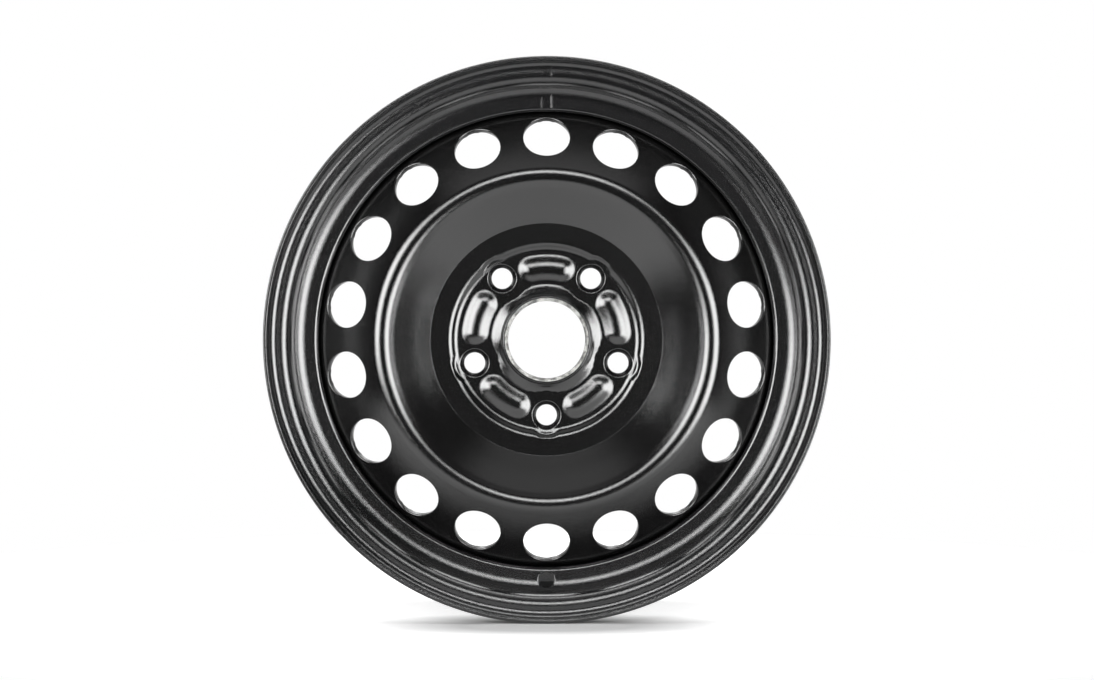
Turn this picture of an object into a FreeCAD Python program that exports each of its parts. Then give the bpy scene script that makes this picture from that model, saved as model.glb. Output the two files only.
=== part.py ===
import FreeCAD, Part
import math
import os

Vector = FreeCAD.Vector

os.makedirs("parts", exist_ok=True)

# A pressed-steel car wheel: a rolled rim, a pressed disc, and the welds between them.
# The axle is the Y axis and the outer face of the wheel looks along -Y. "Out" is a distance
# along the axle from the middle of the rim towards the outer face; "radius" is from the axle.

# Rim: a 15 by 6 J drop-centre contour, measured on the tyre side
bead_diameter = 380.2
rim_width = 152.4
flange_height = 17.3
flange_curl = 9.5
lip_width = 11.0
bead_corner = 6.5
bead_width = 18.7
bead_taper = 5.0
hump_height = 1.45
hump_run = 5.5
hump_foot_bend = 8.0
hump_bend = 4.0
well_depth = 18.0
well_wall_tilt = 18.0
well_wall_bend = 6.0
well_inner_edge = 4.0
well_ramp_bend = 20.0
rim_sheet = 2.8
valve_hole = 11.3
valve_circle = 179.2

# Disc: a pressing whose flange sits in the well
disc_sheet = 4.0
tightest_bend = 0.6
wheel_offset = 47.0
crown_circle = 121.6
crown_out = 74.3
crown_bend = 12.0
vent_cone_tilt = 34.5
bowl_tilt = 31.0
flange_bend = 10.4
flange_rear = 19.0
bowl_foot_bend = 5.0
hub_step_circle = 71.6
hub_step = 3.0
hub_step_bend = 1.6
press_wall = 48.0

vent_count = 18
vent_diameter = 34.5
vent_circle = 150.2
plain_spoke = 60.0  # a clock angle that no vent or bolt pocket crosses

# Hub: five ball-seated bolts, a centring bore with a turned-up collar
bolt_count = 5
bolt_circle_diameter = 112.0
bolt_hole = 15.5
seat_ball = 13.0
seat_diameter = 20.4
pocket_floor = 17.4
pocket_depth = 0.5
pocket_bend = 1.8
boss_overlap = 0.3
pocket_run_out = 1.0
pad_outer = 62.4
pad_inner = 44.2
pad_height = 2.4
pad_foot_bend = 1.6
pad_top_bend = 2.4
bore_diameter = 57.1
bore_lead = 1.5
collar_height = 9.5
collar_foot_bend = 8.0
collar_edge = 1.0
collar_chamfer = 2.3

# Welds behind the disc
weld_count = 8
weld_sweep = 30.0
weld_leg = 3.6
weld_bulge = 0.35

# Sizes that follow from the ones above
bead_radius = bead_diameter / 2
half_width = rim_width / 2
lip_out = half_width + lip_width
well_radius = bead_radius - well_depth
seat_radius = well_radius - rim_sheet
hub_rear = wheel_offset + pocket_depth
hub_front = hub_rear + disc_sheet
pocket_front = wheel_offset + disc_sheet
ring_front = hub_front + hub_step
bolt_circle = bolt_circle_diameter / 2
bore_radius = bore_diameter / 2
collar_radius = bore_radius + disc_sheet
press_lean = 1 / math.tan(math.radians(press_wall))


def at(out, radius):
    """A point of the half section that is turned round the axle."""
    return Vector(radius, -out, 0)


def direction(first, last):
    """Unit direction between two corners of a section, as (out, radius)."""
    step = (last[0] - first[0], last[1] - first[1])
    length = math.hypot(step[0], step[1])
    return step[0] / length, step[1] / length


def rounded_path(corners):
    """Straight runs joined by tangent arcs; a corner is (out, radius, bend)."""
    points = [at(out, radius) for out, radius, bend in corners]
    edges = []
    start = points[0]
    for number in range(1, len(points) - 1):
        corner = points[number]
        bend = corners[number][2]
        if bend == 0:
            edges.append(Part.makeLine(start, corner))
            start = corner
            continue
        back = (points[number - 1] - corner).normalize()
        ahead = (points[number + 1] - corner).normalize()
        half_angle = back.getAngle(ahead) / 2
        reach = bend / math.tan(half_angle)
        inward = (back + ahead).normalize()
        first = corner + back * reach
        middle = corner + inward * (bend / math.sin(half_angle) - bend)
        last = corner + ahead * reach
        edges.append(Part.makeLine(start, first))
        edges.append(Part.Arc(first, middle, last).toShape())
        start = last
    edges.append(Part.makeLine(start, points[-1]))
    return edges


def far_side(corners, sheet):
    """The other face of a sheet, one thickness to the right of the path, bends concentric."""
    far = []
    last = len(corners) - 1
    for number, (out, radius, bend) in enumerate(corners):
        first_run = min(max(number - 1, 0), last - 1)
        next_run = min(number, last - 1)
        before = direction(corners[first_run], corners[first_run + 1])
        after = direction(corners[next_run], corners[next_run + 1])
        turn = before[0] * after[1] - before[1] * after[0]
        share = sheet / (1 + before[0] * after[0] + before[1] * after[1])
        far_out = out + (before[1] + after[1]) * share
        far_radius = radius - (before[0] + after[0]) * share
        far_bend = bend + sheet if turn > 0 else max(bend - sheet, tightest_bend)
        far.append((far_out, far_radius, far_bend))
    return far


def turned(edges, sweep=360.0):
    """A closed outline turned round the axle into a solid."""
    wire = Part.Wire(Part.sortEdges(edges)[0])
    return Part.Face(wire).revolve(Vector(0, 0, 0), Vector(0, 1, 0), sweep)


def bent_sheet(corners, sheet):
    """A sheet of even thickness that follows a bent path, turned round the axle."""
    near = rounded_path(corners)
    far_corners = far_side(corners, sheet)
    far = rounded_path(far_corners)
    ends = [Part.makeLine(at(*corners[0][:2]), at(*far_corners[0][:2])),
            Part.makeLine(at(*corners[-1][:2]), at(*far_corners[-1][:2]))]
    return turned(near + far + ends)


def round_axle(shape, count):
    """Equal copies round the axle, the first one straight down."""
    copies = []
    for number in range(count):
        copy = shape.copy()
        copy.rotate(Vector(0, 0, 0), Vector(0, 1, 0), 90 + number * 360.0 / count)
        copies.append(copy)
    return copies


def flange_and_seat():
    """Tyre-side corners from a flange lip to the hump beside its bead seat."""
    seat_end = half_width - bead_width
    seat_end_radius = bead_radius - bead_width * math.tan(math.radians(bead_taper))
    return [(lip_out, bead_radius + flange_height, 0),
            (half_width, bead_radius + flange_height, flange_curl),
            (half_width, bead_radius, bead_corner),
            (seat_end, seat_end_radius, hump_foot_bend),
            (seat_end - hump_run, seat_end_radius + hump_height, hump_bend)]


def well_wall():
    """Outer wall of the well: its top corner and its foot."""
    top = flange_and_seat()[-1]
    fall = top[1] - well_radius
    return top, (top[0] - fall * math.tan(math.radians(well_wall_tilt)), well_radius, well_wall_bend)


def valve_hole_cutter():
    """A hole square to the well's outer wall, at the bottom of the wheel."""
    top, foot = well_wall()
    tilt = math.radians(well_wall_tilt)
    out = top[0] - (top[1] - valve_circle) * math.tan(tilt)
    way = Vector(-math.sin(tilt), -math.cos(tilt), 0)
    reach = 3 * rim_sheet
    start = at(out, valve_circle) - way * reach
    hole = Part.makeCylinder(valve_hole / 2, 2 * reach + rim_sheet, start, way)
    return round_axle(hole, 1)[0]


def make_rim():
    """The rolled hoop, joined at the top, with the valve hole opposite."""
    outer_half = flange_and_seat()
    inner_half = [(-out, radius, bend) for out, radius, bend in outer_half]
    top, foot = well_wall()
    path = inner_half + [(well_inner_edge, well_radius, well_ramp_bend), foot]
    path += reversed(outer_half)
    hoop = bent_sheet(path, rim_sheet)
    hoop.rotate(Vector(0, 0, 0), Vector(0, 1, 0), -90)
    return hoop.cut(valve_hole_cutter())


def disc_path():
    """Front-face corners of the disc, from the flange's rear edge to the collar's foot."""
    vent_tilt = math.radians(vent_cone_tilt)
    dish_tilt = math.radians(bowl_tilt)
    centre_out = crown_out - crown_bend
    flange_rise = (crown_bend - math.sin(vent_tilt) * (seat_radius - crown_circle)) / math.cos(vent_tilt)
    spread = math.sin(vent_tilt + dish_tilt)
    peak_rise = crown_bend * (math.sin(vent_tilt) + math.sin(dish_tilt)) / spread
    peak_shift = crown_bend * (math.cos(dish_tilt) - math.cos(vent_tilt)) / spread
    foot_rise = ring_front - centre_out
    foot_shift = (math.cos(dish_tilt) * foot_rise - crown_bend) / math.sin(dish_tilt)
    step_run = hub_step * press_lean
    pad_run = pad_height * press_lean
    pad_front = hub_front + pad_height
    return [(flange_rear, seat_radius, 0),
            (centre_out + flange_rise, seat_radius, flange_bend),
            (centre_out + peak_rise, crown_circle + peak_shift, crown_bend),
            (ring_front, crown_circle + foot_shift, bowl_foot_bend),
            (ring_front, hub_step_circle, hub_step_bend),
            (hub_front, hub_step_circle - step_run, hub_step_bend),
            (hub_front, pad_outer, pad_foot_bend),
            (pad_front, pad_outer - pad_run, pad_top_bend),
            (pad_front, pad_inner + pad_run, pad_top_bend),
            (hub_front, pad_inner, pad_foot_bend),
            (hub_front, collar_radius + collar_foot_bend + tightest_bend, 0)]


def collar():
    """The turned-up lip of the bore, chamfered where a cap or spigot enters."""
    rim_of_foot = collar_radius + collar_foot_bend + tightest_bend
    top = hub_front + collar_height
    corners = [(hub_front, rim_of_foot, 0),
               (hub_front, collar_radius, collar_foot_bend),
               (top, collar_radius, collar_edge),
               (top, bore_radius + collar_chamfer, 0),
               (top - collar_chamfer, bore_radius, 0),
               (hub_rear, bore_radius, bore_lead),
               (hub_rear, rim_of_foot, 0)]
    closing = Part.makeLine(at(hub_rear, rim_of_foot), at(hub_front, rim_of_foot))
    return turned(rounded_path(corners) + [closing])


def bolt_axis(out):
    """A point on the axis of the first bolt, before it is turned into place."""
    return at(out, bolt_circle)


def boss_behind():
    """Sheet pushed back round one bolt, so that it lands on the hub's face."""
    widening = disc_sheet / math.sin(math.radians(press_wall))
    rear_radius = pocket_floor + widening - disc_sheet * press_lean
    depth = disc_sheet - boss_overlap
    front_radius = rear_radius + depth * press_lean
    return Part.makeCone(rear_radius, front_radius, depth, bolt_axis(wheel_offset), Vector(0, -1, 0))


def pocket():
    """The round recess pressed round one bolt, with a leaning wall and a rounded foot."""
    height = ring_front - pocket_front + pocket_run_out
    mouth = pocket_floor + height * press_lean
    top = pocket_front + height
    corners = [(pocket_front, 0, 0),
               (pocket_front, pocket_floor, pocket_bend),
               (top, mouth, 0),
               (top, 0, 0)]
    closing = Part.makeLine(at(top, 0), at(pocket_front, 0))
    shape = turned(rounded_path(corners) + [closing])
    shape.translate(Vector(bolt_circle, 0, 0))
    return shape


def bolt_opening():
    """The ball seat and the clearance hole of one bolt."""
    lift = math.sqrt(seat_ball ** 2 - (seat_diameter / 2) ** 2)
    ball = Part.makeSphere(seat_ball, bolt_axis(pocket_front + lift))
    hole = Part.makeCylinder(bolt_hole / 2, 3 * disc_sheet, bolt_axis(wheel_offset - disc_sheet),
                             Vector(0, -1, 0))
    return ball.fuse(hole)


def vent_cutter():
    """A round punch, square to the cone between the crown and the flange."""
    tilt = math.radians(vent_cone_tilt)
    rise = (crown_bend - math.sin(tilt) * (vent_circle - crown_circle)) / math.cos(tilt)
    way = Vector(math.sin(tilt), -math.cos(tilt), 0)
    reach = 3 * disc_sheet
    start = at(crown_out - crown_bend + rise, vent_circle) - way * reach
    return Part.makeCylinder(vent_diameter / 2, 2 * reach, start, way)


def make_disc():
    """The pressing: turned form, vents, bolt bosses and pockets, then the bolt holes."""
    sheet = bent_sheet(disc_path(), disc_sheet).fuse(collar()).removeSplitter()
    sheet.rotate(Vector(0, 0, 0), Vector(0, 1, 0), -plain_spoke)
    for punch in round_axle(vent_cutter(), vent_count):
        sheet = sheet.cut(punch)
    for boss in round_axle(boss_behind(), bolt_count):
        sheet = sheet.fuse(boss)
    for recess in round_axle(pocket(), bolt_count):
        sheet = sheet.cut(recess)
    for opening in round_axle(bolt_opening(), bolt_count):
        sheet = sheet.cut(opening)
    return sheet


def make_welds():
    """Fillet beads in the corner between the disc's rear edge and the well."""
    heel = at(flange_rear, seat_radius)
    on_disc = at(flange_rear, seat_radius - weld_leg)
    on_rim = at(flange_rear - weld_leg, seat_radius)
    bulge = weld_leg / 2 + weld_bulge
    face = Part.Arc(on_disc, at(flange_rear - bulge, seat_radius - bulge), on_rim).toShape()
    bead = turned([Part.makeLine(heel, on_disc), face, Part.makeLine(on_rim, heel)], weld_sweep)
    return Part.makeCompound(round_axle(bead, weld_count))


def single_solid(shape):
    """The one solid of a finished piece."""
    return shape.Solids[0] if len(shape.Solids) == 1 else shape


single_solid(make_rim()).exportStep("parts/rim.step")
single_solid(make_disc()).exportStep("parts/disc.step")
make_welds().exportStep("parts/weld_beads.step")
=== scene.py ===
import math

import bmesh
import bpy
import numpy as np
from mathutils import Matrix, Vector


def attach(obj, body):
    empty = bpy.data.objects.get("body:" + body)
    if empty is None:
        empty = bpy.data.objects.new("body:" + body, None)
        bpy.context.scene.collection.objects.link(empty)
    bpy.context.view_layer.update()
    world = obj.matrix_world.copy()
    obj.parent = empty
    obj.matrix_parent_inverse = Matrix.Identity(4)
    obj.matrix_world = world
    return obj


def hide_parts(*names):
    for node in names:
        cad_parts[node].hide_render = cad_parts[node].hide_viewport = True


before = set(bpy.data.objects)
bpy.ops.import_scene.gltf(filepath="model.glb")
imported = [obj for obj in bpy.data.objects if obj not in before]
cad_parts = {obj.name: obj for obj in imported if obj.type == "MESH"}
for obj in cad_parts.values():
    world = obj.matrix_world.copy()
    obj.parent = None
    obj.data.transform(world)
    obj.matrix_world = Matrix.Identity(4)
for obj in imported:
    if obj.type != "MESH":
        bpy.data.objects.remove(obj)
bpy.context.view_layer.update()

# A pressed-steel car wheel in satin black electrocoat. Lengths of the wheel are in millimetres and
# angles in degrees: "out" runs along the axle towards the outer face (-Y), "radius" is from the
# axle, a "circle" is given by its radius, and -90 degrees is straight down, where the valve hole is.
# The sizes are those of its solids, apart from the hub's pressings, the bowl, the rim's outer wall
# with the valve hole and the welds' ripples, which depart from them by up to 2.7 mm.
MM = 0.001

# Rim
bead_radius = 190.1
half_width = 76.2
flange_height = 17.3
lip_width, lip_bend, flange_foot_bend = 11.0, 9.5, 6.5
bead_width, bead_taper, bead_end_bend = 18.7, 5.0, 8.0
hump_run, hump_height, hump_bend = 5.5, 1.45, 3.2
well_radius = 172.1
wall_foot, wall_foot_bend = 46.7, 0.6
wall_middle = (47.6, 182.4, 18.0)
well_inner_edge, well_inner_bend = 4.0, 20.0
rim_sheet = 2.8
rim_edge = 0.9
rim_spacing = 4.0
seam_width, seam_height, seam_slope = 7.0, 0.2, 1.2
seam_end, seam_run_out = 203.0, 8.0
seam_columns = (0.75, 0.9, 1.1, 1.25)
valve_hole, valve_circle, valve_out, valve_tilt, valve_edge = 11.3, 178.9, 48.7, 8.0, 1.2

# Disc
disc_sheet = 4.0
tightest_bend = 0.6
seat_radius = well_radius - rim_sheet
flange_rear, flange_bend = 19.0, 10.4
crown_circle, crown_out, crown_bend = 121.6, 74.3, 12.0
vent_cone_tilt, bowl_tilt, bowl_hollow = 34.5, 31.8, 0.25
vent_count, vent_diameter, vent_circle, vent_edge = 18, 34.5, 150.2, 0.9
hub_face = 47.0
hub_rear, hub_front, ring_front = 47.5, 51.5, 54.5
bowl_foot_bend, bowl_curve = 0.35, 300.0
bowl_shoulder, bowl_shoulder_tilt, bowl_shoulder_bend = 112.5, 29.5, 40.0
hub_step_circle, hub_step_bend, hub_step_lean = 71.3, 7.3, 37.0
press_lean = 1 / math.tan(math.radians(48.0))
pad_outer, pad_inner, pad_height = 62.4, 44.2, 2.4
pad_back_foot, pad_back_top, pad_back_end = 1.6, 2.4, 3.0
pad_spine, pad_half_sweep, pad_round, pad_foot = 53.0, 12.0, 15.5, 1.4
bolt_count, bolt_circle, bolt_hole, bolt_edge = 5, 56.0, 15.5, 0.3
bolt_middle = 49.0
seat_ball, seat_mouth, seat_sink, seat_ease = 13.0, 10.2, 0.4, 0.5
pocket_circle, pocket_floor, pocket_round, pocket_lip = 56.0, 15.0, 1.6, 0.8
boss_radius, boss_ease = 19.2, 1.2
bore_radius, collar_radius, collar_top = 28.55, 32.55, 61.0
collar_edge, collar_chamfer, chamfer_edge, bore_lead = 0.9, 2.3, 0.4, 1.5
collar_foot, collar_foot_tilt, collar_foot_bend, hub_to_collar_bend = 40.6, 20.0, 2.5, 8.0
collar_dent, dent_half_sweep, dent_start, dent_run_in = 0.95, 13.0, 33.5, 2.0
# Zones of the hub, and how close its mesh lines lie
flank_end, pads_end = 42.0, 64.0
hub_inner, hub_outer, hub_top = 34.0, 84.0, 62.0
hub_fine_from, hub_fine_out = 36.0, 51.0
hub_front_spacing, hub_back_spacing, disc_spacing = 1.2, 4.0, 6.0
rough_lip_out, rough_lip_slack = 57.0, 0.1

# Welds
weld_count, weld_sweep, weld_leg, weld_bulge = 8, 30.0, 3.6, 0.077
weld_ripple, weld_ripple_depth = 2.2, 0.03
weld_end_run, weld_end_size = 3.0, 0.15

# Meshing: the steps of a bend in degrees and in length, the nudges for normals, and the fitting of
# a hole to the sheet that it goes through
bend_step, bend_run = 13.0, 3.0
row_nudge, angle_nudge, least_press = 0.3, 0.004, 1e-3
sheet_slack, sheet_reach, least_facing = 0.2, 9.0, 0.1
fit_rounds, fit_nudge, fit_reach = 12, 0.2, 1.5
ring_crowding, edge_steps = 0.8, 4


def unit(step):
    """The direction of a step."""
    return step / np.linalg.norm(step)


def far_side(corners, sheet):
    """Corners of the other face of a sheet, one thickness to the right, bends concentric."""
    far = []
    last = len(corners) - 1
    for number, (out, radius, bend) in enumerate(corners):
        first_run = min(max(number - 1, 0), last - 1)
        next_run = min(number, last - 1)
        before = unit(np.subtract(corners[first_run + 1][:2], corners[first_run][:2]))
        after = unit(np.subtract(corners[next_run + 1][:2], corners[next_run][:2]))
        turn = before[0] * after[1] - before[1] * after[0]
        share = sheet / (1 + before @ after)
        far_bend = bend + sheet if turn > 0 else max(bend - sheet, tightest_bend)
        far.append((out + (before[1] + after[1]) * share, radius - (before[0] + after[0]) * share,
                    far_bend))
    return far


def section_line(corners, spacing):
    """Points and headings round a closed section; a corner is (out, radius, bend)."""
    arcs = []
    count = len(corners)
    for number, (out, radius, bend) in enumerate(corners):
        corner = np.array((out, radius))
        back = unit(np.array(corners[number - 1][:2]) - corner)
        ahead = unit(np.array(corners[(number + 1) % count][:2]) - corner)
        half = math.acos(max(-1.0, min(1.0, back @ ahead))) / 2
        reach = bend / math.tan(half)
        centre = corner + unit(back + ahead) * bend / math.sin(half)
        arcs.append((corner + back * reach, corner + ahead * reach, centre, math.pi - 2 * half))
    points, headings = [], []
    for number, (first, last, centre, sweep) in enumerate(arcs):
        arm, end = first - centre, last - centre
        way = math.copysign(1.0, arm[0] * end[1] - arm[1] * end[0])
        size = np.linalg.norm(arm)
        steps = max(2, math.ceil(math.degrees(sweep) / bend_step), math.ceil(size * sweep / bend_run))
        for step in range(steps + 1):
            angle = way * sweep * step / steps
            turned = np.array((arm[0] * math.cos(angle) - arm[1] * math.sin(angle),
                               arm[0] * math.sin(angle) + arm[1] * math.cos(angle)))
            points.append(centre + turned)
            headings.append(way * np.array((-turned[1], turned[0])) / size)
        run = arcs[(number + 1) % count][0] - last
        length = np.linalg.norm(run)
        pieces = math.ceil(length / spacing(last + run / 2))
        for piece in range(1, pieces):
            points.append(last + run * piece / pieces)
            headings.append(run / length)
    keep = [n for n in range(len(points)) if np.linalg.norm(points[n] - points[n - 1]) > 1e-4]
    return np.array(points)[keep], np.array(headings)[keep]


def from_place(radius, off, circle):
    """Distance to a place on a circle, for a radius and an angle off that place."""
    return np.hypot(radius * np.cos(off) - circle, radius * np.sin(off))


def eased(first, second, ease):
    """The lower of two heights, with the edge between them eased."""
    close = np.maximum(ease - np.abs(first - second), 0) / ease
    return np.minimum(first, second) - close * close * ease / 4


def ground_seam(out, radius, angle, lean_out, lean_radius):
    """The rim's turned form with its butt weld, ground nearly flush, across it at the top.

    It runs out towards the edges of the flanges."""
    off = np.abs(radius * np.cos(angle)) - seam_width / 2
    lift = np.where(np.sin(angle) > 0, seam_height * np.clip(0.5 - off / seam_slope, 0, 1), 0)
    lift = lift * np.clip((seam_end - radius) / seam_run_out, 0, 1)
    return out + lift * lean_out, radius + lift * lean_radius


def pressed_hub(out, radius, angle, front):
    """The hub's turned form with what is pressed into it.

    In front that is the bolt pockets with their ball seats, the domed pads between them and the
    dents in the collar's flank beside the bolts; behind, it is the bosses round the bolts."""
    half_pitch = 180 / bolt_count
    off_bolt = (np.mod(angle + math.radians(90 + half_pitch), math.radians(2 * half_pitch))
                - math.radians(half_pitch))
    away = from_place(radius, off_bolt, bolt_circle)
    wall = (from_place(radius, off_bolt, pocket_circle) - pocket_floor) / press_lean
    pocket = hub_front + pocket_lip - eased(-wall, 0 * wall, pocket_round)
    seat = hub_front - seat_sink + math.sqrt(seat_ball ** 2 - seat_mouth ** 2) - np.sqrt(
        np.maximum(seat_ball ** 2 - away ** 2, 0))
    past_end = np.maximum(math.radians(half_pitch - pad_half_sweep) - np.abs(off_bolt), 0) * pad_spine
    from_spine = np.hypot(radius - pad_spine, past_end)
    pad = -eased(from_spine ** 2 / (2 * pad_round) - pad_height, 0 * radius, pad_foot)
    dent = collar_dent * np.exp(-(off_bolt / math.radians(dent_half_sweep)) ** 2)
    flank = np.maximum(out - dent * np.clip((radius - dent_start) / dent_run_in, 0, 1), hub_front)
    raised = np.where(radius < flank_end, flank, out + np.where(radius < pads_end, pad, 0))
    seated = eased(eased(raised, pocket, pocket_lip), seat, seat_ease)
    boss = eased(out, hub_face + np.maximum(away - boss_radius, 0) / press_lean, boss_ease)
    in_hub = (radius > hub_inner) & (radius < hub_outer) & (out < hub_top)
    return np.where(in_hub, np.where(front, seated, boss), out)


def turned_normal(section, row):
    """The outward normal of a turned section, as its out and radius parts."""
    headings = section["headings"]
    rows = np.arange(len(headings) + 1)
    place = np.mod(row, len(headings))
    return (section["side"] * np.interp(place, rows, np.append(headings[:, 1], headings[0, 1])),
            -section["side"] * np.interp(place, rows, np.append(headings[:, 0], headings[0, 0])))


def spot(section, row, angle):
    """Points on a turned section, by row number and angle, in millimetres."""
    points = section["points"]
    rows = np.arange(len(points) + 1)
    row = np.mod(row, len(points))
    out = np.interp(row, rows, np.append(points[:, 0], points[0, 0]))
    radius = np.interp(row, rows, np.append(points[:, 1], points[0, 1]))
    if section["form"] == "pressed hub":
        out = pressed_hub(out, radius, angle, row < section["front_rows"])
    if section["form"] == "ground seam":
        out, radius = ground_seam(out, radius, angle, *turned_normal(section, row))
    return np.stack((radius * np.cos(angle), -out, radius * np.sin(angle)), axis=-1)


def facing(section, row, angle):
    """Outward normals at the same places."""
    out_part, radius_part = turned_normal(section, row)
    plain = np.stack((radius_part * np.cos(angle), -out_part, radius_part * np.sin(angle)), axis=-1)
    if section["form"] != "turned":
        along = spot(section, row + row_nudge, angle) - spot(section, row - row_nudge, angle)
        across = spot(section, row, angle + angle_nudge) - spot(section, row, angle - angle_nudge)
        normal = np.cross(along, across)
        normal *= np.sign(np.sum(normal * plain, axis=-1, keepdims=True))
        flat = dict(section, form="turned")
        moved = np.abs(spot(section, row, angle) - spot(flat, row, angle)).max(axis=-1) > least_press
        plain = np.where(moved[..., None], normal, plain)
    return plain / np.linalg.norm(plain, axis=-1, keepdims=True)


def zipped(first, first_turn, second, second_turn):
    """Triangles between two rings of points that go round the same hole."""
    first, first_turn = np.array(first)[np.argsort(first_turn)], np.sort(first_turn)
    second, second_turn = np.array(second)[np.argsort(second_turn)], np.sort(second_turn)
    triangles = []
    a = b = 0
    while a < len(first) or b < len(second):
        next_a = first_turn[(a + 1) % len(first)] + 2 * math.pi * ((a + 1) // len(first))
        next_b = second_turn[(b + 1) % len(second)] + 2 * math.pi * ((b + 1) // len(second))
        here_a, here_b = first[a % len(first)], second[b % len(second)]
        if b >= len(second) or (a < len(first) and next_a <= next_b):
            triangles.append((here_a, here_b, first[(a + 1) % len(first)]))
            a += 1
        else:
            triangles.append((here_a, here_b, second[(b + 1) % len(second)]))
            b += 1
    return triangles


def around_axle(out, radius, angle):
    """A place or direction in the section, turned to an angle about the axle."""
    return np.array((radius * math.cos(angle), -out, radius * math.sin(angle)))


def hole_mouth(section, columns, hole, face_of_sheet):
    """One face of a sheet round a hole: the window cut in its grid, as (row, column) corners in
    order, then rings of points from there to the hole and over its rounded edge."""
    count, turns = len(section["points"]), len(columns)
    tangent = np.array((-math.sin(hole["angle"]), 0, math.cos(hole["angle"])))
    axis = around_axle(*hole["axis"], hole["angle"])
    slant = np.cross(tangent, axis)
    middle = around_axle(*hole["at"], hole["angle"])
    outward = axis * face_of_sheet

    turned = dict(section, form="turned")
    every_row, same_angle = np.arange(count), np.full(count, hole["angle"])
    line = spot(turned, every_row, same_angle) - middle
    depth = line @ outward
    wide = hole["radius"] + hole["edge"]
    inside = np.flatnonzero((np.abs(line @ slant) < wide + hole["margin"])
                            & (depth > -sheet_slack) & (depth < sheet_reach)
                            & (facing(turned, every_row, same_angle) @ outward > least_facing))
    top, bottom = inside.min() - 1, inside.max() + 1
    off_hole = np.mod(columns - hole["angle"] + math.pi, 2 * math.pi) - math.pi
    centre = int(np.argmin(np.abs(off_hole)))
    left, right = centre - hole["half_turn"], centre + hole["half_turn"]
    border = ([(top, j) for j in range(left, right)]
              + [(i, right) for i in range(top, bottom)]
              + [(bottom, j) for j in range(right, left, -1)]
              + [(i, left) for i in range(bottom, top, -1)])

    rows = np.array([i for i, j in border], float)
    angles = np.array([columns[j % turns] for i, j in border])
    angles = hole["angle"] + np.mod(angles - hole["angle"] + math.pi, 2 * math.pi) - math.pi
    from_axis = spot(section, rows, angles) - middle
    turn = np.arctan2(from_axis @ slant, from_axis @ tangent)
    around = np.cos(turn)[:, None] * tangent + np.sin(turn)[:, None] * slant
    edge_rows = np.interp(wide * np.sin(turn), *sorted_pair(line @ slant, top, bottom))
    edge_angles = hole["angle"] + wide * np.cos(turn) / np.linalg.norm(middle[[0, 2]])
    for fit_round in range(fit_rounds):
        place = spot(section, edge_rows, edge_angles)
        ahead = spot(section, edge_rows + fit_nudge, edge_angles)
        off = place - middle
        per_row = (ahead - place) @ slant / fit_nudge
        edge_angles += (wide * np.cos(turn) - off @ tangent) / np.linalg.norm(place[:, [0, 2]], axis=1)
        edge_rows += np.clip((wide * np.sin(turn) - off @ slant) / per_row, -fit_reach, fit_reach)

    rings = []
    for step in range(1, hole["rings"] + 1):
        share = 1 - (step / hole["rings"]) ** ring_crowding
        ring_rows = edge_rows + (rows - edge_rows) * share
        ring_angles = edge_angles + (angles - edge_angles) * share
        rings.append((spot(section, ring_rows, ring_angles), facing(section, ring_rows, ring_angles)))
    edge_start = rings[-1][0]
    for step in range(1, edge_steps + 1):
        bend = math.pi / 2 * step / edge_steps
        normal = outward * math.cos(bend) - around * math.sin(bend)
        rings.append((edge_start - outward * hole["edge"] + hole["edge"] * normal, normal))
    return border, rings, turn


def punched_sheet(section, columns, holes):
    """Points, normals and faces of a turned sheet with round holes through it."""
    count, turns = len(section["points"]), len(columns)
    row, angle = [grid.ravel() for grid in np.meshgrid(np.arange(count), columns, indexing="ij")]
    points = [spot(section, row, angle)]
    normals = [facing(section, row, angle)]
    total = count * turns
    faces = []
    cut = np.zeros((count, turns), bool)

    for hole in holes:
        mouths = []
        for face_of_sheet in (1, -1):
            border, rings, turn = hole_mouth(section, columns, hole, face_of_sheet)
            (top, left), (bottom, right) = min(border), max(border)
            for i in range(top, bottom):
                cut[i, np.mod(np.arange(left, right), turns)] = True
            ring = [i * turns + j % turns for i, j in border]
            for ring_points, ring_normals in rings:
                points.append(ring_points)
                normals.append(ring_normals)
                new = list(range(total, total + len(ring)))
                faces += [(ring[k - 1], ring[k], new[k], new[k - 1]) for k in range(len(ring))]
                ring, total = new, total + len(ring)
            mouths.append((ring, turn))
        faces += zipped(*mouths[0], *mouths[1])

    for i in range(count):
        for j in range(turns):
            if not cut[i, j]:
                faces.append((i * turns + j, i * turns + (j + 1) % turns,
                              (i + 1) % count * turns + (j + 1) % turns, (i + 1) % count * turns + j))
    return np.concatenate(points), np.concatenate(normals), faces


def sorted_pair(across, top, bottom):
    """Distances across a hole and their row numbers, in rising order."""
    rows = np.arange(top, bottom + 1)
    order = np.argsort(across[rows])
    return across[rows][order], rows[order].astype(float)


def steel_piece(name, points, faces, material, normals=None):
    """A closed mesh of the wheel, in metres, shaded smooth."""
    mesh = bpy.data.meshes.new(name)
    mesh.from_pydata([tuple(point) for point in np.asarray(points) * MM], [],
                     [tuple(map(int, face)) for face in faces])
    work = bmesh.new()
    work.from_mesh(mesh)
    bmesh.ops.recalc_face_normals(work, faces=work.faces)
    if work.calc_volume(signed=True) < 0:
        bmesh.ops.reverse_faces(work, faces=work.faces)
    work.to_mesh(mesh)
    work.free()
    mesh.shade_smooth()
    if normals is not None:
        mesh.normals_split_custom_set_from_vertices([tuple(normal) for normal in normals])
    mesh.materials.append(material)
    piece = bpy.data.objects.new(name, mesh)
    bpy.context.collection.objects.link(piece)
    return piece


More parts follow.
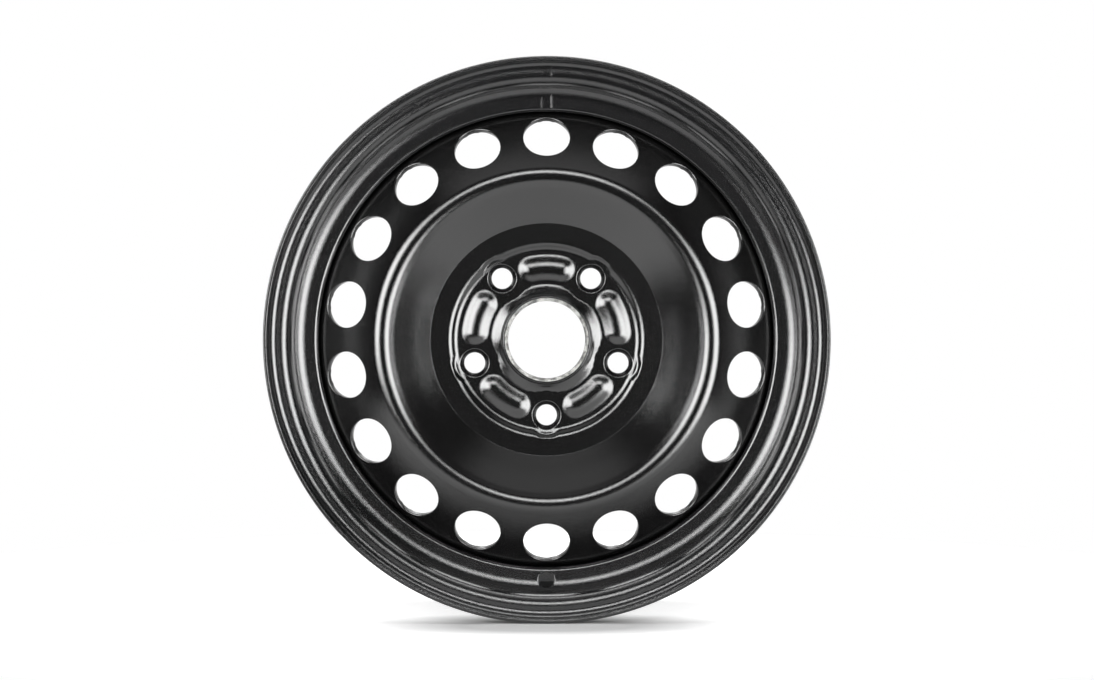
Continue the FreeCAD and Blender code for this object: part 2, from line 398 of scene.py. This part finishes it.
def closed_section(corners, spacing, form, front_end=None):
    """A section ready to be turned; its front rows end at a given corner of the bore."""
    points, headings = section_line(corners, spacing)
    ahead = np.roll(points, -1, axis=0)
    area = np.sum(points[:, 0] * ahead[:, 1] - ahead[:, 0] * points[:, 1])
    front_rows = 0
    if front_end:
        front_rows = int(np.argmin(np.hypot(points[:, 0] - front_end[0], points[:, 1] - front_end[1])))
    return {"points": points, "headings": headings, "side": math.copysign(1.0, area),
            "form": form, "front_rows": front_rows}


def rim_section():
    """Rolled rim: flanges, bead seats, humps and well, the same thickness all along."""
    seat_end = half_width - bead_width
    seat_end_radius = bead_radius - bead_width * math.tan(math.radians(bead_taper))
    hump = (seat_end - hump_run, seat_end_radius + hump_height)
    outer = [(half_width + lip_width, bead_radius + flange_height, 0),
             (half_width, bead_radius + flange_height, lip_bend),
             (half_width, bead_radius, flange_foot_bend),
             (seat_end, seat_end_radius, bead_end_bend),
             (*hump, hump_bend)]
    path = [(-out, radius, bend) for out, radius, bend in outer]
    path += [(well_inner_edge, well_radius, well_inner_bend), (wall_foot, well_radius, wall_foot_bend),
             wall_middle]
    path += outer[::-1]
    loop = path + far_side(path, rim_sheet)[::-1]
    for end in (0, len(path) - 1, len(path), len(loop) - 1):
        loop[end] = (loop[end][0], loop[end][1], rim_edge)
    return closed_section(loop, lambda place: rim_spacing, "ground seam")


def disc_section():
    """Pressed disc: flange, vent cone, crown, bowl, hub and the turned-up collar of the bore."""
    vent_tilt, dish_tilt = math.radians(vent_cone_tilt), math.radians(bowl_tilt)
    centre = crown_out - crown_bend
    flange_rise = (crown_bend - math.sin(vent_tilt) * (seat_radius - crown_circle)) / math.cos(vent_tilt)
    shoulder_tilt = math.radians(bowl_shoulder_tilt)
    spread = math.sin(vent_tilt + shoulder_tilt)
    peak_rise = crown_bend * (math.sin(vent_tilt) + math.sin(shoulder_tilt)) / spread
    peak_shift = crown_bend * (math.cos(shoulder_tilt) - math.cos(vent_tilt)) / spread
    foot_shift = (math.cos(dish_tilt) * (ring_front - centre) - crown_bend) / math.sin(dish_tilt)
    fall = crown_circle - crown_bend * math.sin(shoulder_tilt) - bowl_shoulder
    shoulder = (centre + crown_bend * math.cos(shoulder_tilt) - fall * math.tan(shoulder_tilt),
                bowl_shoulder)
    bowl_middle = ((shoulder[0] + ring_front) / 2 - bowl_hollow * math.cos(dish_tilt),
                   (shoulder[1] + crown_circle + foot_shift) / 2 + bowl_hollow * math.sin(dish_tilt),
                   bowl_curve)
    hub_step_run = (ring_front - hub_front) / math.tan(math.radians(hub_step_lean))
    path = [(flange_rear, seat_radius, 0),
            (centre + flange_rise, seat_radius, flange_bend),
            (centre + peak_rise, crown_circle + peak_shift, crown_bend),
            (*shoulder, bowl_shoulder_bend),
            bowl_middle,
            (ring_front, crown_circle + foot_shift, bowl_foot_bend),
            (ring_front, hub_step_circle, hub_step_bend),
            (hub_front, hub_step_circle - hub_step_run, hub_step_bend)]
    pad_run = pad_height * press_lean
    pads = [(hub_front, pad_outer, pad_back_foot),
            (hub_front + pad_height, pad_outer - pad_run, pad_back_top),
            (hub_front + pad_height, pad_inner + pad_run, pad_back_top),
            (hub_front, pad_inner, pad_back_foot),
            (hub_front, pad_inner - pad_back_end, 0)]
    foot_rise = (collar_foot - collar_radius) * math.tan(math.radians(collar_foot_tilt))
    collar = [(hub_front, collar_foot, hub_to_collar_bend),
              (hub_front + foot_rise, collar_radius, collar_foot_bend),
              (collar_top, collar_radius, collar_edge),
              (collar_top, bore_radius + collar_chamfer, chamfer_edge),
              (collar_top - collar_chamfer, bore_radius, chamfer_edge),
              (hub_rear, bore_radius, bore_lead)]
    back = far_side(path + pads, disc_sheet)[::-1]
    loop = path + collar + back[1:]
    loop[0] = (*loop[0][:2], tightest_bend)
    loop[-1] = (*loop[-1][:2], tightest_bend)

    def spacing(place):
        if not hub_fine_from < place[1] < hub_outer:
            return disc_spacing
        return hub_front_spacing if place[0] > hub_fine_out else hub_back_spacing

    return closed_section(loop, spacing, "pressed hub", (collar_top - collar_chamfer, bore_radius))


def make_rim(coat):
    """The rolled hoop with its valve hole at the bottom."""
    section = rim_section()
    tilt = math.radians(valve_tilt)
    hole = {"angle": -math.pi / 2, "radius": valve_hole / 2, "edge": valve_edge,
            "margin": 1.2, "half_turn": 4, "rings": 7,
            "axis": (math.cos(tilt), -math.sin(tilt)), "at": (valve_out, valve_circle)}
    beside_seam = [90 + side * off for side in (-1, 1) for off in seam_columns]
    columns = np.radians(np.sort(np.concatenate((-90 + np.arange(360), beside_seam))))
    points, normals, faces = punched_sheet(section, columns, [hole])
    return steel_piece("rim_hoop", points, faces, coat, normals)


def make_disc(coat, lip_steel):
    """The pressing with its vents, bolt seats and bore, its lip left rough."""
    section = disc_section()
    tilt = math.radians(vent_cone_tilt)
    rise = (crown_bend - math.sin(tilt) * (vent_circle - crown_circle)) / math.cos(tilt)
    vent_out = crown_out - crown_bend + rise - math.cos(tilt) * disc_sheet / 2
    holes = [{"angle": math.radians(-90 + 360 / vent_count * number), "radius": vent_diameter / 2,
              "edge": vent_edge, "margin": 2.0, "half_turn": 9, "rings": 6,
              "axis": (math.cos(tilt), math.sin(tilt)),
              "at": (vent_out, vent_circle - math.sin(tilt) * disc_sheet / 2)}
             for number in range(vent_count)]
    holes += [{"angle": math.radians(-90 + 360 / bolt_count * number), "radius": bolt_hole / 2,
               "edge": bolt_edge, "margin": 3.3, "half_turn": 12, "rings": 10,
               "axis": (1.0, 0.0), "at": (bolt_middle, bolt_circle)}
              for number in range(bolt_count)]
    columns = np.radians(-90 + np.arange(360))
    points, normals, faces = punched_sheet(section, columns, holes)
    piece = steel_piece("disc_pressing", points, faces, coat, normals)
    piece.data.materials.append(lip_steel)
    for face in piece.data.polygons:
        past_bore = math.hypot(face.center.x, face.center.z) / MM - bore_radius - rough_lip_slack
        if 0 < past_bore < collar_chamfer and -face.center.y / MM > rough_lip_out:
            face.material_index = 1
    return piece


def make_welds(coat):
    """Fillet beads behind the disc, rippled as the arc moved along and rounded at their ends."""
    points, faces = [], []
    across, along = 12, 75
    for number in range(weld_count):
        start = math.radians(-90 - 360 / weld_count * number)
        first = len(points)
        for step in range(along + 1):
            share = step / along
            angle = start - math.radians(weld_sweep) * share
            length = math.radians(weld_sweep) * seat_radius * share
            from_end = min(share, 1 - share) * math.radians(weld_sweep) * seat_radius
            rounded = math.sqrt(1 - (1 - min(from_end / weld_end_run, 1)) ** 2)
            swell = rounded * (1 - weld_end_size) + weld_end_size
            ripple = weld_ripple_depth * math.cos(2 * math.pi * length / weld_ripple)
            leg = weld_leg * swell * (1 - weld_ripple_depth + ripple)
            loop = [(flange_rear, seat_radius)]
            for stop in range(across + 1):
                turn = math.pi / 2 * stop / across
                round_leg = leg / 2 * (1 + weld_bulge * math.sin(2 * turn))
                flat_leg = leg / 2 * stop / across
                loop.append((flange_rear - (1 - math.cos(turn)) * round_leg - flat_leg,
                             seat_radius - (1 - math.sin(turn)) * round_leg - (leg / 2 - flat_leg)))
            points += [(r * math.cos(angle), -out, r * math.sin(angle)) for out, r in loop]
        wide = across + 2
        for step in range(along):
            for stop in range(wide):
                a, b = first + step * wide + stop, first + step * wide + (stop + 1) % wide
                faces.append((a, b, b + wide, a + wide))
        faces.append(tuple(first + stop for stop in range(wide)))
        faces.append(tuple(first + along * wide + stop for stop in reversed(range(wide))))
    return steel_piece("weld_ripples", points, faces, coat)


def linear(hex_colour):
    """An sRGB hex colour as linear RGBA."""
    parts = [int(hex_colour[n:n + 2], 16) / 255 for n in (1, 3, 5)]
    return [p / 12.92 if p <= 0.04045 else ((p + 0.055) / 1.055) ** 2.4 for p in parts] + [1.0]


def add(tree, kind, inputs=None, **settings):
    """A node with its settings, its values and its links."""
    node = tree.nodes.new("ShaderNode" + kind)
    for name, value in settings.items():
        setattr(node, name, value)
    for socket, value in (inputs or {}).items():
        if isinstance(value, bpy.types.NodeSocket):
            tree.links.new(value, node.inputs[socket])
        else:
            node.inputs[socket].default_value = value
    return node


def new_material(name):
    """An empty node material and its output."""
    material = bpy.data.materials.new(name)
    material.use_nodes = True
    tree = material.node_tree
    tree.nodes.clear()
    return material, tree, tree.nodes.new("ShaderNodeOutputMaterial")


def electrocoated_steel(name, thin, thick, gloss, grain):
    """Black electrocoat baked on pressed steel: a satin film that shows the sheet's fine
    grain as a speckle in its highlights, and pools a little darker where it dried thicker."""
    material, tree, output = new_material(name)
    place = add(tree, "TexCoord").outputs["Object"]
    grain_mm, peel_mm, pool_mm, press_mm = 0.4, 3.0, 28.0, 60.0
    speckle = add(tree, "TexNoise", {"Vector": place, "Scale": 1 / (grain_mm * MM), "Detail": 2.0})
    peel = add(tree, "TexNoise", {"Vector": place, "Scale": 1 / (peel_mm * MM), "Detail": 1.0})
    pools = add(tree, "TexNoise", {"Vector": place, "Scale": 1 / (pool_mm * MM), "Detail": 3.0})
    waves = add(tree, "TexNoise", {"Vector": place, "Scale": 1 / (press_mm * MM), "Detail": 1.0})
    film = add(tree, "Mix", {"Factor": pools.outputs["Fac"], 6: linear(thin), 7: linear(thick)},
               data_type="RGBA")
    rough = add(tree, "MapRange", {"Value": speckle.outputs["Fac"], "From Min": 0.3, "From Max": 0.7,
                                   "To Min": gloss - 0.03, "To Max": gloss + 0.03})
    wave = add(tree, "Bump", {"Height": waves.outputs["Fac"], "Strength": 0.25, "Distance": 0.4 * MM})
    skin = add(tree, "Bump", {"Height": peel.outputs["Fac"], "Strength": 0.2, "Distance": 0.06 * MM,
                              "Normal": wave.outputs["Normal"]})
    fine = add(tree, "Bump", {"Height": speckle.outputs["Fac"], "Strength": grain, "Distance": 0.085 * MM,
                              "Normal": skin.outputs["Normal"]})
    shader = add(tree, "BsdfPrincipled", {
        "Base Color": film.outputs[2], "Roughness": rough.outputs["Result"], "IOR": 1.58,
        "Normal": fine.outputs["Normal"], "Coat Weight": 1.0, "Coat Roughness": gloss - 0.01,
        "Coat IOR": 1.55, "Coat Normal": fine.outputs["Normal"]})
    tree.links.new(shader.outputs["BSDF"], output.inputs["Surface"])
    return material


def rough_cut_steel(name):
    """The bore's lip as the press sheared it: a coarse grey break with thin coat caught in its
    pits, so it sparkles light and dark from grain to grain."""
    material, tree, output = new_material(name)
    place = add(tree, "TexCoord").outputs["Object"]
    pit_mm, smear_mm = 0.7, 6.0
    pits = add(tree, "TexNoise", {"Vector": place, "Scale": 1 / (pit_mm * MM), "Detail": 3.0})
    smear = add(tree, "TexNoise", {"Vector": place, "Scale": 1 / (smear_mm * MM), "Detail": 2.0})
    both = add(tree, "Math", {0: pits.outputs["Fac"], 1: smear.outputs["Fac"]}, operation="ADD")
    bare = add(tree, "MapRange", {"Value": both.outputs["Value"], "From Min": 0.85, "From Max": 1.15})
    film = add(tree, "Mix", {"Factor": bare.outputs["Result"], 6: linear("#5c5c5a"), 7: linear("#e2e2de")},
               data_type="RGBA")
    break_up = add(tree, "Bump", {"Height": pits.outputs["Fac"], "Strength": 0.9, "Distance": 0.35 * MM})
    shader = add(tree, "BsdfPrincipled", {"Base Color": film.outputs[2], "Metallic": 0.3,
                                          "Roughness": 0.42, "Normal": break_up.outputs["Normal"]})
    tree.links.new(shader.outputs["BSDF"], output.inputs["Surface"])
    return material


def white_paper_with_painted_shadow(name, glow):
    """Matt white studio paper that keeps the wheel's lamp-cast shadow and glows white to the camera
    away from where the wheel stands. Round its foot the glow is turned down in an ellipse, a painted
    shadow laid over the cast one. The coat mirrors only a little of that white."""
    material, tree, output = new_material(name)
    mirrored_share, far_glow, paper_roughness = 0.1, 0.8, 0.9
    # Painted shadow: an ellipse just in front of the wheel's foot where the paper glows less to the camera
    foot_to_front, painted_shadow_half_width, painted_shadow_half_depth = 0.1, 0.16, 0.085
    painted_shadow_core = 0.4
    path = add(tree, "LightPath")
    seen = add(tree, "Math", {0: path.outputs["Is Camera Ray"], 1: path.outputs["Is Transmission Ray"]},
               operation="MAXIMUM")
    mirrored = add(tree, "Math", {0: path.outputs["Is Glossy Ray"], 1: mirrored_share},
                   operation="MULTIPLY")
    shown = add(tree, "Math", {0: seen.outputs["Value"], 1: mirrored.outputs["Value"]},
                operation="MAXIMUM")
    from_flange = add(tree, "VectorMath", {0: add(tree, "TexCoord").outputs["Object"],
                                           1: (0, foot_to_front, 0)}, operation="ADD")
    spread = add(tree, "VectorMath", {0: from_flange.outputs["Vector"],
                                      1: (1 / painted_shadow_half_width, 1 / painted_shadow_half_depth, 0)},
                 operation="MULTIPLY")
    painted_shadow_reach = add(tree, "VectorMath", {0: spread.outputs["Vector"]}, operation="LENGTH")
    # Painted shade: the glow is least in the ellipse's core and rises to white at its edge
    glow_round_painted_shadow = add(tree, "MapRange", {"Value": painted_shadow_reach.outputs["Value"], "From Min": painted_shadow_core,
                                    "From Max": 1.0, "To Min": glow, "To Max": far_glow})
    lit = add(tree, "Math", {0: shown.outputs["Value"], 1: glow_round_painted_shadow.outputs["Result"]},
              operation="MULTIPLY")
    shader = add(tree, "BsdfPrincipled", {
        "Base Color": linear("#cccccc"), "Roughness": paper_roughness, "Specular IOR Level": 0.1,
        "Emission Color": linear("#ffffff"), "Emission Strength": lit.outputs["Value"]})
    tree.links.new(shader.outputs["BSDF"], output.inputs["Surface"])
    return material


def make_stage():
    """A round of white paper under the wheel, with a painted shadow round its foot."""
    floor = -(bead_radius + flange_height) * MM
    ring_sizes, sides, paper_middle = (0.2, 0.4, 0.62), 96, 0.14
    points = [(size * math.cos(angle), paper_middle + size * math.sin(angle), floor)
              for size in ring_sizes for angle in np.linspace(0, 2 * math.pi, sides, endpoint=False)]
    faces = [tuple(range(sides))]
    for first in range(0, (len(ring_sizes) - 1) * sides, sides):
        faces += [(first + n, first + sides + n, first + sides + (n + 1) % sides, first + (n + 1) % sides)
                  for n in range(sides)]
    mesh = bpy.data.meshes.new("floor_paper")
    mesh.from_pydata(points, [], faces)
    mesh.materials.append(white_paper_with_painted_shadow("white_floor_paper_with_painted_shadow", 0.02))
    paper = bpy.data.objects.new("floor_paper", mesh)
    bpy.context.collection.objects.link(paper)


def softbox(name, place, aim, width, height, power):
    """A large soft lamp that faces a point."""
    lamp = bpy.data.lights.new(name, "AREA")
    lamp.shape, lamp.size, lamp.size_y, lamp.energy = "RECTANGLE", width, height, power
    box = bpy.data.objects.new(name, lamp)
    box.location = place
    box.rotation_euler = (Vector(aim) - Vector(place)).to_track_quat("-Z", "Y").to_euler()
    bpy.context.collection.objects.link(box)


def make_light():
    """Softboxes left, right and above the camera with a dark gap between them, one overhead and the
    faint bounce of a ceiling. The room is white to the camera, and to the coat only from behind."""
    room_level, white_from, white_full = 0.03, 0.05, 0.5
    softbox("left_softbox", (-1.42, -2.15, 0.35), (0, 0, 0), 1.25, 1.5, 56)
    softbox("right_softbox", (1.47, -2.11, -0.1), (0, 0, 0), 1.35, 1.6, 63)
    softbox("front_top_softbox", (0, -2.4, 1.05), (0, 0, 0), 1.3, 0.5, 17)
    softbox("overhead_softbox", (0, 0.5, 2.3), (0, 0.5, 0), 4.4, 2.0, 120)
    softbox("ceiling_bounce", (0, -1.15, 2.3), (0, -1.15, 0), 3.0, 1.3, 4.5)
    world = bpy.data.worlds.new("studio_room")
    bpy.context.scene.world = world
    world.use_nodes = True
    tree = world.node_tree
    tree.nodes.clear()
    path = add(tree, "LightPath")
    way = add(tree, "SeparateXYZ", {0: add(tree, "TexCoord").outputs["Generated"]})
    behind = add(tree, "MapRange", {"Value": way.outputs["Y"], "From Min": white_from,
                                    "From Max": white_full})
    mirrored = add(tree, "Math", {0: path.outputs["Is Glossy Ray"],
                                  1: path.outputs["Is Transmission Ray"]}, operation="MAXIMUM")
    wall = add(tree, "Math", {0: mirrored.outputs["Value"], 1: behind.outputs["Result"]},
               operation="MULTIPLY")
    shown = add(tree, "Math", {0: path.outputs["Is Camera Ray"], 1: wall.outputs["Value"]},
                operation="MAXIMUM")
    level = add(tree, "Math", {0: shown.outputs["Value"], 1: room_level}, operation="MAXIMUM")
    back = add(tree, "Background", {"Color": linear("#ffffff"), "Strength": level.outputs["Value"]})
    add(tree, "OutputWorld", {"Surface": back.outputs["Background"]})


def make_camera():
    """A long lens square on to the wheel, a touch left of the axle and above it."""
    data = bpy.data.cameras.new("camera")
    data.sensor_width, data.lens = 36.0, 94.7
    camera = bpy.data.objects.new("camera", data)
    aim = Vector((-0.0002, -0.0872, 0.0001))
    camera.location = aim + Vector((-0.034, -2.1, 0.026))
    camera.rotation_euler = (aim - camera.location).to_track_quat("-Z", "Y").to_euler()
    bpy.context.collection.objects.link(camera)
    bpy.context.scene.camera = camera


rim_coat = electrocoated_steel("satin_black_electrocoat_on_rolled_steel", "#0b0b0c", "#080809", 0.17, 0.8)
disc_coat = electrocoated_steel("satin_black_electrocoat_on_pressed_steel", "#0c0c0c", "#080808", 0.14, 0.7)
weld_coat = electrocoated_steel("satin_black_electrocoat_on_weld", "#121212", "#0d0d0d", 0.2, 0.7)
bore_lip = rough_cut_steel("sheared_steel_lip")

for piece, node in ((make_rim(rim_coat), "rim"), (make_disc(disc_coat, bore_lip), "disc"),
                    (make_welds(weld_coat), "weld_beads")):
    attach(piece, "root")
    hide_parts(node)

make_stage()
make_light()
make_camera()
bpy.context.scene.view_settings.view_transform = "Standard"
